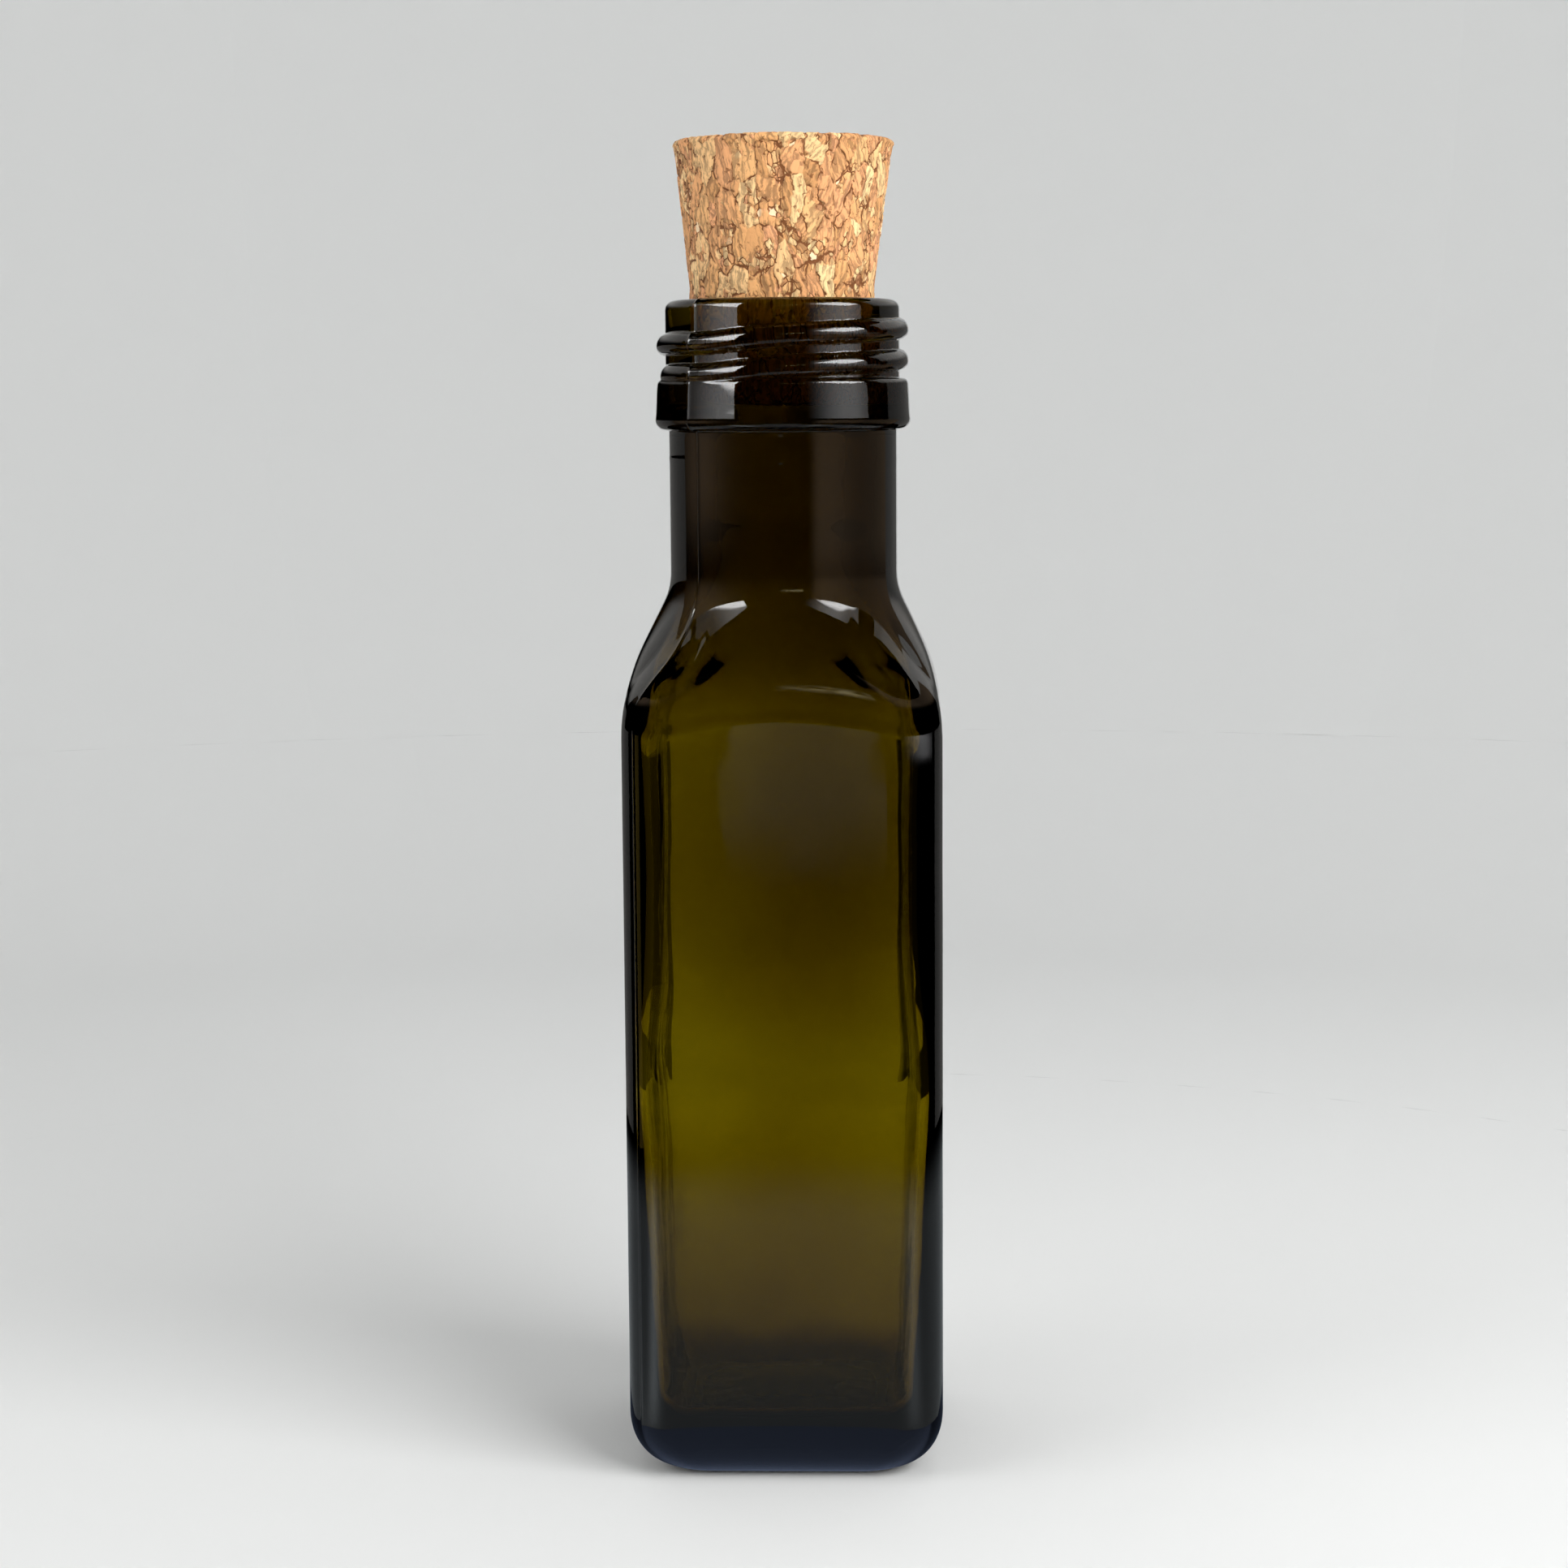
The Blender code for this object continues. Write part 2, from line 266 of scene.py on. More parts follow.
def noise(tree, place, scale, detail, **more):
    """A noise texture's value as a field."""
    inputs = {"Vector": place, "Scale": scale, "Detail": detail, **more}
    return Field(tree, add_node(tree, "ShaderNodeTexNoise", inputs).outputs[0])


def vector_math(tree, operation, first, second):
    """The vector that one Vector Math node makes of two."""
    return add_node(tree, "ShaderNodeVectorMath", {0: first, 1: second},
                    operation=operation).outputs[0]


def scale_vector(tree, vector, factor):
    """A vector times a field."""
    return add_node(tree, "ShaderNodeVectorMath", {0: vector, "Scale": factor},
                    operation="SCALE").outputs[0]


def polar(x, y):
    """A point's turn from +X round the axis and its distance from the axis."""
    return y.math("ARCTAN2", x), (x * x + y * y).math("SQRT")


def new_geometry_tree(name, labels):
    """A Geometry Nodes tree with a mesh in and out; returns it, its inputs and its entry."""
    tree = bpy.data.node_groups.new(name, "GeometryNodeTree")
    tree.interface.new_socket("Geometry", in_out="INPUT", socket_type="NodeSocketGeometry")
    tree.interface.new_socket("Geometry", in_out="OUTPUT", socket_type="NodeSocketGeometry")
    for label in labels:
        tree.interface.new_socket(label, in_out="INPUT", socket_type="NodeSocketFloat")
    tree.interface.new_socket("Material", in_out="INPUT", socket_type="NodeSocketMaterial")
    entry = tree.nodes.new("NodeGroupInput")
    return tree, {label: Field(tree, entry.outputs[label]) for label in labels}, entry


def run_tree(obj, tree, values):
    """Run a tree on an object with named input values, and keep the result as its plain mesh."""
    modifier = obj.modifiers.new(tree.name, "NODES")
    modifier.node_group = tree
    for item in tree.interface.items_tree:
        if item.in_out == "INPUT" and item.name in values:
            modifier[item.identifier] = values[item.name]
    evaluated = obj.evaluated_get(bpy.context.evaluated_depsgraph_get())
    mesh = bpy.data.meshes.new_from_object(evaluated)
    obj.modifiers.remove(modifier)
    mesh.name = obj.name
    obj.data = mesh
    return obj


def finish_tree(tree, entry, moves):
    """End a tree: move the points, realize instances, give the material and hand it out."""
    placed = add_node(tree, "GeometryNodeSetPosition",
                      {"Geometry": entry.outputs["Geometry"], **moves}).outputs[0]
    realized = add_node(tree, "GeometryNodeRealizeInstances", {0: placed}).outputs[0]
    dressed = add_node(tree, "GeometryNodeSetMaterial",
                       {"Geometry": realized, "Material": entry.outputs["Material"]})
    smooth = add_node(tree, "GeometryNodeSetShadeSmooth", {"Geometry": dressed.outputs[0]})
    add_node(tree, "NodeGroupOutput", {0: smooth.outputs[0]})


def link_object(name, data):
    """A new object in the scene for a mesh, a light or a camera."""
    obj = bpy.data.objects.new(name, data)
    bpy.context.scene.collection.objects.link(obj)
    return obj


def new_object(name, bm):
    """A new object in the scene with a bmesh's faces; the bmesh is freed."""
    mesh = bpy.data.meshes.new(name)
    bm.to_mesh(mesh)
    bm.free()
    return link_object(name, mesh)


def arc(centre, radius, start, end, steps, height=None):
    """Points (across, up) on an arc between two angles; height makes it an ellipse's arc."""
    rise = radius if height is None else height
    angles = [start + (end - start) * i / steps for i in range(steps + 1)]
    return [(centre[0] + radius * cos(a), centre[1] + rise * sin(a)) for a in angles]


def steps_between(low, high, spacing):
    """Even values strictly between two heights, no further apart than spacing."""
    count = max(2, ceil(abs(high - low) / spacing))
    return [low + (high - low) * i / count for i in range(1, count)]


def section_directions():
    """Directions of the points round a section, closest together on the corners and seams."""
    folds = [CORNER_FOLD * i / FLAT_STEPS for i in range(FLAT_STEPS)]
    folds += [CORNER_FOLD + (CORNER_END - CORNER_FOLD) * i / (CORNER_STEPS - 1)
              for i in range(CORNER_STEPS)]
    folds += list(SEAM_FOLDS)
    half = folds + [radians(45)]
    one_face = [-fold for fold in reversed(half)] + half[1:-1]
    return [fold + face * pi / 2 for face in range(4) for fold in one_face]


def fold_of(direction):
    """A direction's angle from the middle of the nearest face."""
    return abs((direction + pi / 4) % (pi / 2) - pi / 4)


def outline_reach(direction, half_width, corner_radius):
    """Distance from the axis to a rounded square's outline in one direction."""
    fold = fold_of(direction)
    inset = half_width - corner_radius
    if half_width * tan(fold) <= inset:
        return half_width / cos(fold)
    along = inset * (cos(fold) + sin(fold))
    return along + sqrt(max(along ** 2 - 2 * inset ** 2 + corner_radius ** 2, 0.0))


def shoulder_sections(glass, start, body_half, body_corner, neck_radius):
    """Sections up a shoulder, from the rounded square of the body to the round neck."""
    outward = arc((body_half - glass.shoulder_radius, start), glass.shoulder_radius,
                  0.0, glass.shoulder_slope, 16)
    first = Vector(outward[-1])
    last_width = neck_radius + glass.neck_fillet * (1 - cos(glass.shoulder_slope))
    rise = (first.x - last_width) / tan(glass.shoulder_slope)
    last = Vector((last_width, first.y + rise))
    slope = [first.lerp(last, i / 8) for i in range(1, 8)]
    neck_start = last.y + glass.neck_fillet * sin(glass.shoulder_slope)
    inward = arc((neck_radius + glass.neck_fillet, neck_start), glass.neck_fillet,
                 pi + glass.shoulder_slope, pi, 10)
    sections = []
    for half_width, height in outward + slope + inward:
        way = clamped((height - start - glass.hip_rise) / glass.hip_height)
        roundness = sin(way * pi / 2) ** glass.hip_power
        sections.append((height, half_width, body_corner + (half_width - body_corner) * roundness))
    return sections


def round_sections(points):
    """Circular sections from (radius, height) points."""
    return [(height, radius, radius) for radius, height in points]


def outer_sections(glass):
    """Sections of the outer skin, from the middle of the base up to the lip."""
    half = GLASS_HIGH[0]
    top = GLASS_HIGH[2]
    flat = half - glass.heel_width
    ring = flat - glass.ring_width
    heel_corner = glass.corner_radius - 0.3 * MM
    sections = []
    for i in range(1, 9):
        share = i / 9
        sections.append((glass.push_up * (1 - share ** 2), ring * share, heel_corner * share))
    sections += [(0.02 * MM, ring - 0.1 * MM, heel_corner), (0.0, ring, heel_corner),
                 (0.0, (ring + flat) / 2, heel_corner)]
    for half_width, height in arc((flat, glass.heel_height), glass.heel_width,
                                  -pi / 2, 0.0, 16, glass.heel_height):
        way = height / glass.heel_height
        rounded = heel_corner + (glass.corner_radius - heel_corner) * way
        sections.append((height, half_width, rounded))
    for height in steps_between(glass.heel_height, glass.shoulder_start, 3.0 * MM):
        sections.append((height, half, glass.corner_radius))
    sections += shoulder_sections(glass, glass.shoulder_start, half, glass.corner_radius,
                                  glass.neck_radius)

    # Plain neck, with close rings either side of the line between the moulds
    line = glass.ring_line
    heights = steps_between(sections[-1][0], line - 0.8 * MM, 1.2 * MM)
    heights += [line + offset * 0.1 * MM for offset in range(-8, 9)]
    heights += steps_between(line + 0.8 * MM, glass.collar_bottom - 0.3 * MM, 0.8 * MM)
    sections += [(height, glass.neck_radius, glass.neck_radius) for height in heights]

    # Collar: a small root fillet, a rounded lower edge, a slight draft and a rounded upper edge
    root = 0.3 * MM
    lower = 1.2 * MM
    upper = 0.7 * MM
    upper_radius = glass.collar_radius - glass.collar_draft
    profile = arc((glass.neck_radius + root, glass.collar_bottom - root), root, pi, pi / 2, 3)
    profile += arc((glass.collar_radius - lower, glass.collar_bottom + lower), lower,
                   -pi / 2, 0.0, 8)
    for height in steps_between(glass.collar_bottom + lower, glass.collar_top - upper, 1.0 * MM):
        way = (height - glass.collar_bottom) / (glass.collar_top - glass.collar_bottom)
        profile.append((glass.collar_radius - glass.collar_draft * way, height))
    profile += arc((upper_radius - upper, glass.collar_top - upper), upper, 0.0, pi / 2, 6)
    profile += arc((glass.land_radius + root / 2, glass.collar_top + root / 2), root / 2,
                   -pi / 2, -pi, 2)
    lip = 1.1 * MM
    for height in steps_between(glass.collar_top + root / 2, top - lip, 0.13 * MM):
        profile.append((glass.land_radius, height))
    profile += arc((glass.land_radius - lip, top - lip), lip, 0.0, pi / 2, 8)
    return sections + round_sections(profile)


def inner_sections(glass):
    """Sections of the inner skin, from the mouth down to the middle of the floor."""
    top = GLASS_HIGH[2]
    edge = 0.6 * MM
    seat = CORK_LOW[2]
    profile = arc((glass.mouth_radius + edge, top - edge), edge, pi / 2, pi, 6)
    for height in steps_between(top - edge, seat, 1.2 * MM) + [seat]:
        profile.append((glass.mouth_radius - CORK_TAPER * (top - edge - height), height))
    profile.append((glass.neck_bore, glass.collar_bottom))
    half = GLASS_HIGH[0] - glass.wall
    corner = glass.inner_corner
    shoulder = shoulder_sections(glass, glass.inner_shoulder_start, half, corner, glass.neck_bore)
    for height in steps_between(glass.collar_bottom, shoulder[-1][0], 1.5 * MM):
        profile.append((glass.neck_bore, height))
    sections = round_sections(profile) + shoulder[::-1]
    heel = 5.0 * MM
    floor = glass.base_thickness
    for height in steps_between(glass.inner_shoulder_start, floor + heel, 2.6 * MM):
        sections.append((height, half, corner))
    flat = half - heel
    for half_width, height in arc((flat, floor + heel), heel, 0.0, -pi / 2, 8):
        sections.append((height, half_width, corner))
    for i in range(8, 0, -1):
        share = i / 9
        sections.append((floor, flat * share, corner * share))
    return sections


def arch_depth(glass, direction, height):
    """How far a point is lowered, so that each flat face ends in a shallow arch at the shoulder."""
    sideways = min(tan(fold_of(direction)) / tan(CORNER_FOLD), 1.0)
    above = (height - glass.shoulder_start) / (8.0 * MM)
    begun = clamped(1.0 + above)
    ended = clamped(above - 1.0)
    share = begun ** 2 * (3 - 2 * begun) - ended ** 2 * (3 - 2 * ended)
    return glass.arch_drop * sideways ** 2 * share


def glass_skin(glass):
    """One closed skin over the outer and inner sections, with an attribute that is 1 outside."""
    directions = section_directions()
    count = len(directions)
    outside = outer_sections(glass)
    inside = inner_sections(glass)
    bm = bmesh.new()
    side = bm.verts.layers.float.new("outside")

    def ring(section, is_outside):
        height, half_width, corner_radius = section
        points = []
        for direction in directions:
            reach = outline_reach(direction, half_width, corner_radius)
            lowered = height - arch_depth(glass, direction, height)
            x, y = reach * cos(direction), reach * sin(direction)
            point = bm.verts.new((x, y, lowered))
            point[side] = is_outside
            points.append(point)
        return points

    rings = [ring(section, 1.0) for section in outside] + [ring(section, 0.0) for section in inside]
    for below, above in zip(rings, rings[1:]):
        for i in range(count):
            j = (i + 1) % count
            bm.faces.new((below[i], below[j], above[j], above[i]))
    under = bm.verts.new((0.0, 0.0, glass.push_up))
    under[side] = 1.0
    floor = bm.verts.new((0.0, 0.0, glass.base_thickness))
    for i in range(count):
        j = (i + 1) % count
        bm.faces.new((under, rings[0][j], rings[0][i]))
        bm.faces.new((floor, rings[-1][i], rings[-1][j]))
    obj = new_object("bottle_skin", bm)
    obj.data.shade_smooth()
    return obj


def glass_relief_tree():
    """Thread, mould seams and the wander of the walls, as moves of the skin's points."""
    tree, value, entry = new_geometry_tree("glass_relief",
                                           (*RELIEF_INPUTS, "Land Low", "Land High"))
    position = add_node(tree, "GeometryNodeInputPosition").outputs[0]
    normal = add_node(tree, "GeometryNodeInputNormal").outputs[0]
    x, y, height = split(tree, position)
    turn, reach = polar(x, y)
    outside = Field(tree, add_node(tree, "GeometryNodeInputNamedAttribute", {"Name": "outside"},
                                   data_type="FLOAT").outputs["Attribute"])

    # The thread: the nearest turn's distance up the wall, and the angle along the whole helix
    beside_seam = (turn + radians(127)).math("PINGPONG", pi / 2)
    level = height + beside_seam.bell(radians(24)) * value["Thread Dip"]
    turns = (level - value["Thread Height"]) / value["Thread Pitch"] - turn / tau
    nearest = turns.math("ROUND")
    above = (turns - nearest) * value["Thread Pitch"]
    above = (above * 0.83).math("MINIMUM", above * 1.09)
    along = turn + nearest * tau
    fade_in = along.ramp(value["Thread Bottom"], value["Thread Bottom"] + radians(60))
    fade_out = along.reversed_from(value["Thread Top"]).ramp(0.0, radians(60))
    sunk = (fade_in * fade_out).reversed_from(1.0) * value["Thread Ridge"] * 1.2
    ridge = value["Thread Ridge"]
    bulge = (ridge * ridge - above * above).math("MAXIMUM", 0.0).math("SQRT")
    crest = value["Thread Crest"] - ridge - sunk + bulge
    threaded = reach.math("SMOOTH_MAX", crest, 0.22 * MM)
    on_land = height.ramp(value["Land Low"], value["Land Low"] + 0.4 * MM)
    on_land = on_land * height.reversed_from(value["Land High"]).ramp(0.0, 0.3 * MM) * outside
    grown = (threaded - reach) * on_land / reach + 1.0
    moved = add_node(tree, "ShaderNodeCombineXYZ",
                     {0: x * grown, 1: y * grown, 2: height}).outputs[0]

    # Two mould seams, on opposite corners, and the line between the neck mould and the body mould
    from_seam = (turn + radians(135)).math("PINGPONG", pi / 2) * reach
    seam = from_seam.bell(0.16 * MM) * value["Seam Height"]
    half_step = turn.ramp(radians(-136), radians(-134)) * 0.25 * MM
    ring = (height - value["Ring Line"] + half_step).bell(0.28 * MM) * value["Seam Height"] * 0.35
    above_heel = height.ramp(3.0 * MM, 6.0 * MM)
    relief = (seam * above_heel + ring) * outside

    # The inner wall wanders, in broad waves and in upright streaks
    stretched = vector_math(tree, "MULTIPLY", position, (1.0, 1.0, 0.22))
    wander = (noise(tree, position, 95.0, 2.0) - 0.5) * value["Wave Depth"] * 2.0
    streak = (noise(tree, stretched, 420.0, 2.0) - 0.5) * value["Wave Depth"] * 0.35

    # It is thicker near the base, and the floor rises to a low dome
    low = height.ramp(6.0 * MM, 40.0 * MM).reversed_from(1.0) * value["Low Extra"]
    low = low + reach.bell(9.0 * MM) * height.reversed_from(7.0 * MM).ramp(0.0, 1.5 * MM) * 1.4 * MM

    # Bands of thicker and thinner wall up the body, then the shoulder, then two upright swellings
    bands = (height - 75.0 * MM).bell(14.0 * MM) * 0.45 * MM
    bands = bands - (height - 49.0 * MM).bell(9.0 * MM) * 0.6 * MM
    arched = height + (x * x).math("MINIMUM", y * y) * 9.5
    shoulder = arched.ramp(92.2 * MM, 93.6 * MM) * 0.5 * MM
    shoulder = shoulder + arched.ramp(93.0 * MM, 104.0 * MM) * 1.1 * MM
    bands = bands + shoulder * height.reversed_from(116.0 * MM).ramp(0.0, 10.0 * MM)
    bands = bands + (x - 1.0 * MM).bell(9.0 * MM) * height.ramp(12.0 * MM, 22.0 * MM) * 0.3 * MM
    bands = bands + (x - 6.0 * MM).bell(11.0 * MM) * height.ramp(44.0 * MM, 62.0 * MM) * 0.65 * MM

    # Both skins are true at the threaded land, and the outer one is nearly so everywhere
    inner = (wander + streak + low + bands) * outside.reversed_from(1.0)
    outer = wander * outside * 0.10 * height.ramp(4.0 * MM, 12.0 * MM)
    total = relief + inner * height.reversed_from(value["Land High"] - 1.0 * MM).ramp(0.0, 4.0 * MM)
    total = total + outer * height.reversed_from(value["Land Low"]).ramp(0.0, 6.0 * MM)
    finished = vector_math(tree, "ADD", moved, scale_vector(tree, normal, total))
    finish_tree(tree, entry, {"Position": finished})
    return tree


def new_material(name):
    """A node material; returns it with its tree and its Principled shader."""
    material = bpy.data.materials.new(name)
    material.use_nodes = True
    return material, material.node_tree, material.node_tree.nodes["Principled BSDF"]


def object_place(tree):
    """The place on an object, in its own coordinates."""
    return add_node(tree, "ShaderNodeTexCoord").outputs["Object"]


def olive_glass(glass):
    """Clear glass whose depth absorbs blue most and green a little more than red."""
    material, tree, shader = new_material("olive_glass")
    shader.inputs["Base Color"].default_value = (1.0, 1.0, 1.0, 1.0)
    shader.inputs["Transmission Weight"].default_value = 1.0
    shader.inputs["IOR"].default_value = 1.52
    place = object_place(tree)

    # Handling leaves a faint bloom, and the skin has a slight orange peel
    rough = noise(tree, place, 70.0, 4.0).ramp(0.45, 0.75) * 0.02 + 0.008
    join(tree, rough, shader.inputs["Roughness"])
    bump = add_node(tree, "ShaderNodeBump", {"Height": noise(tree, place, 260.0, 2.0),
                                             "Strength": 0.05, "Distance": 0.05 * MM})
    tree.links.new(bump.outputs[0], shader.inputs["Normal"])

    volume = add_node(tree, "ShaderNodeVolumeAbsorption",
                      {"Color": (*glass.tint, 1.0), "Density": glass.density})
    tree.links.new(volume.outputs[0], tree.nodes["Material Output"].inputs["Volume"])
    return material


class MARASCA_OT_make_bottle(bpy.types.Operator):
    """Make the glass bottle as one skin, with its thread, seams and uneven walls"""

    bl_idname = "marasca.make_bottle"
    bl_label = "Make the glass bottle"

    def execute(self, context):
        glass = context.scene.marasca_glass
        bottle = glass_skin(glass)
        bottle.name = "olive_bottle"
        values = {label: getattr(glass, label.lower().replace(" ", "_")) for label in RELIEF_INPUTS}
        values["Land Low"] = glass.collar_top - 0.6 * MM
        values["Land High"] = GLASS_HIGH[2] - 0.5 * MM
        values["Material"] = olive_glass(glass)
        run_tree(bottle, glass_relief_tree(), values)
        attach(bottle, "root")
        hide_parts("glass_bottle")
        return {"FINISHED"}


def cork_core(cork):
    """The stopper's outline turned on a fine grid, before its granules are cut."""
    top = CORK_HIGH[2]
    bottom = CORK_LOW[2]
    radius = CORK_HIGH[0]
    edge = 0.7 * MM
    columns = 300
    profile = [((radius - edge) * i / 24, top) for i in range(1, 24)]
    profile += arc((radius - edge, top - edge), edge, pi / 2, 0.0, 6)
    lip = GLASS_HIGH[2]
    heights = steps_between(top - edge, lip - 1.0 * MM, 0.17 * MM)
    heights += steps_between(lip - 1.0 * MM, bottom + edge, 0.4 * MM)
    profile += [(radius - CORK_TAPER * (top - height), height) for height in heights]
    low_radius = radius - CORK_TAPER * (top - bottom)
    profile += arc((low_radius - edge, bottom + edge), edge, 0.0, -pi / 2, 4)
    profile += [((low_radius - edge) * i / 12, bottom) for i in range(11, 0, -1)]
    bm = bmesh.new()
    rings = []
    for reach, height in profile:
        held = clamped((lip + 1.5 * MM - height) / (1.5 * MM))
        spread = cork.flare * clamped(1 - (top - height) / (3.0 * MM)) ** 2
        grown = 1 + (cork.fit * held + spread) / radius
        shift = cork.lean * max(height - lip, 0.0) / (top - lip)
        rings.append([bm.verts.new((reach * grown * cos(tau * i / columns) + shift,
                                    reach * grown * sin(tau * i / columns), height))
                      for i in range(columns)])
    for above, below in zip(rings, rings[1:]):
        for i in range(columns):
            j = (i + 1) % columns
            bm.faces.new((above[i], below[i], below[j], above[j]))
    top_point = bm.verts.new((cork.lean, 0.0, top))
    bottom_point = bm.verts.new((0.0, 0.0, bottom))
    for i in range(columns):
        j = (i + 1) % columns
        bm.faces.new((top_point, rings[0][i], rings[0][j]))
        bm.faces.new((bottom_point, rings[-1][j], rings[-1][i]))
    return new_object("cork_core", bm)


def granule_fields(tree, place, flake_width, flake_height, seed):
    """Shared by the relief and the colour: each granule's random values, and gaps between them."""
    bend = add_node(tree, "ShaderNodeTexNoise", {"Vector": place, "Scale": 420.0, "Detail": 3.0,
                                                 "Roughness": 0.6})
    bent = vector_math(tree, "SUBTRACT", bend.outputs["Color"], (0.5, 0.5, 0.5))
    bent = vector_math(tree, "ADD", place, scale_vector(tree, bent, 0.0013))
    shifted = vector_math(tree, "ADD", bent, (seed * 0.031, seed * 0.017, seed * 0.023))
    sizes = {"large": (1 / flake_width, 1 / flake_width, 1 / flake_height),
             "small": (2.9 / flake_width, 2.9 / flake_width, 3.8 / flake_height)}
    result = {}
    for name, size in sizes.items():
        cells = {"Vector": vector_math(tree, "MULTIPLY", shifted, size), "Scale": 1.0,
                 "Randomness": 1.0}
        cell = add_node(tree, "ShaderNodeTexVoronoi", cells)
        edge = add_node(tree, "ShaderNodeTexVoronoi", cells, feature="DISTANCE_TO_EDGE")
        result[name] = split(tree, cell.outputs["Color"])
        result[name + "_edge"] = Field(tree, edge.outputs["Distance"])
    result["crumbly"] = noise(tree, shifted, 330.0, 1.0).ramp(0.55, 0.59)
    result["open"] = noise(tree, shifted, 700.0, 2.0).ramp(0.36, 0.60) * 0.8 + 0.2
    result["pits"] = noise(tree, shifted, 1500.0, 3.0)

    # Fibre runs along each granule, at its own slant from upright
    slant = (result["large"][2] - 0.5) * 1.3
    turned = add_node(tree, "ShaderNodeVectorRotate",
                      {"Vector": shifted, "Axis": (0.6, -0.8, 0.0), "Angle": slant},
                      rotation_type="AXIS_ANGLE").outputs[0]
    drawn = vector_math(tree, "MULTIPLY", turned, (1.0, 1.0, 0.10))
    own = add_node(tree, "ShaderNodeCombineXYZ", dict(enumerate(result["large"]))).outputs[0]
    drawn = vector_math(tree, "ADD", drawn, scale_vector(tree, own, 0.03))
    result["fibre"] = noise(tree, drawn, 2600.0, 2.0, Roughness=0.5, Distortion=0.3)
    return result


def granule_height(grain):
    """Height of the surface from 0 in the gaps to about 1 on the proudest granules."""
    step = grain["large"][0] * 0.4 + 0.6
    gap = grain["large_edge"].ramp(0.0, 0.07).reversed_from(1.0) * grain["open"]
    gap = gap.reversed_from(1.0)
    small_step = grain["small"][1] * 0.6 + 0.35
    small_gap = grain["small_edge"].ramp(0.0, 0.13)
    small_gap = (small_gap.reversed_from(1.0) * (grain["open"] * 0.6 + 0.4)).reversed_from(1.0)
    whole = step * gap * (grain["fibre"].ramp(0.30, 0.60) * 0.22 + 0.78)
    crumbs = small_step * small_gap * gap
    return whole + (crumbs - whole) * grain["crumbly"]


def cork_relief_tree(flake_width, flake_height, seed):
    """Cuts the gaps between granules into the core, and sets each granule at its own height."""
    tree, value, entry = new_geometry_tree("cork_relief", ("Crevice Depth",))
    position = add_node(tree, "GeometryNodeInputPosition").outputs[0]
    normal = add_node(tree, "GeometryNodeInputNormal").outputs[0]
    grain = granule_fields(tree, position, flake_width, flake_height, seed)
    chips = grain["pits"].ramp(0.62, 0.74) * 0.5
    sunk = (granule_height(grain).reversed_from(1.0) + chips) * value["Crevice Depth"]
    finish_tree(tree, entry, {"Offset": scale_vector(tree, normal, sunk * -1.0)})
    return tree


def mix_colours(tree, share, first, second):
    """A blend of two colours."""
    node = add_node(tree, "ShaderNodeMix", {0: share, 6: first, 7: second}, data_type="RGBA")
    return node.outputs[2]


def pressed_cork(cork):
    """Granules of many tans with grain inside them, and a dark colour as painted shade in the gaps
    and pits between them.
    """
    material, tree, shader = new_material("pressed_cork")
    grain = granule_fields(tree, object_place(tree), cork.flake_width, cork.flake_height, cork.seed)
    height = granule_height(grain)

    palette = add_node(tree, "ShaderNodeValToRGB")
    ramp = palette.color_ramp
    dark, middle, pale = (Vector(c) for c in (cork.dark, cork.middle, cork.pale))
    pink = Vector((middle.x * 1.06, middle.y * 0.98, middle.z * 1.18))
    stops = ((0.0, dark.lerp(middle, 0.70)), (0.15, dark.lerp(middle, 0.85)), (0.35, pink),
             (0.55, middle), (0.75, middle.lerp(pale, 0.45)), (1.0, pale))
    while len(ramp.elements) < len(stops):
        ramp.elements.new(0.5)
    for element, (at, shade) in zip(ramp.elements, stops):
        element.position = at
        element.color = (*shade, 1.0)
    pick = grain["large"][1] + (grain["small"][2] - grain["large"][1]) * grain["crumbly"]
    join(tree, pick, palette.inputs[0])

    # Fibres streak each granule, painted shade darkens the gaps and pits, and a few chips are
    # almost white
    lit = scale_vector(tree, palette.outputs[0], grain["fibre"].ramp(0.38, 0.60) * 0.52 + 0.56)
    speck = grain["pits"].ramp(0.59, 0.68) * 0.8
    clear = height.ramp(0.10, 0.50) * speck.reversed_from(1.0)
    bound = mix_colours(tree, clear, (*cork.dark, 1.0), lit)
    chip = grain["small"][0].ramp(0.955, 0.965) * grain["small_edge"].ramp(0.08, 0.14)
    chipped = mix_colours(tree, chip * grain["crumbly"], bound, (0.92, 0.70, 0.44, 1.0))
    tree.links.new(chipped, shader.inputs["Base Color"])
    join(tree, grain["fibre"] * 0.12 + 0.74, shader.inputs["Roughness"])
    shader.inputs["Specular IOR Level"].default_value = 0.25
    bump = add_node(tree, "ShaderNodeBump",
                    {"Height": height * 0.6 + grain["fibre"] * 0.4, "Strength": 0.9,
                     "Distance": 0.22 * MM})
    tree.links.new(bump.outputs[0], shader.inputs["Normal"])
    return material


class MARASCA_OT_make_cork(bpy.types.Operator):
    """Make the pressed cork stopper, with gaps between its granules cut into its surface"""

    bl_idname = "marasca.make_cork"
    bl_label = "Make the cork stopper"

    def execute(self, context):
        cork = context.scene.marasca_cork
        stopper = cork_core(cork)
        stopper.name = "pressed_stopper"
        tree = cork_relief_tree(cork.flake_width, cork.flake_height, cork.seed)
        run_tree(stopper, tree, {"Crevice Depth": cork.crevice_depth,
                                 "Material": pressed_cork(cork)})
        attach(stopper, "root")
        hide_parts("cork_stopper")
        return {"FINISHED"}


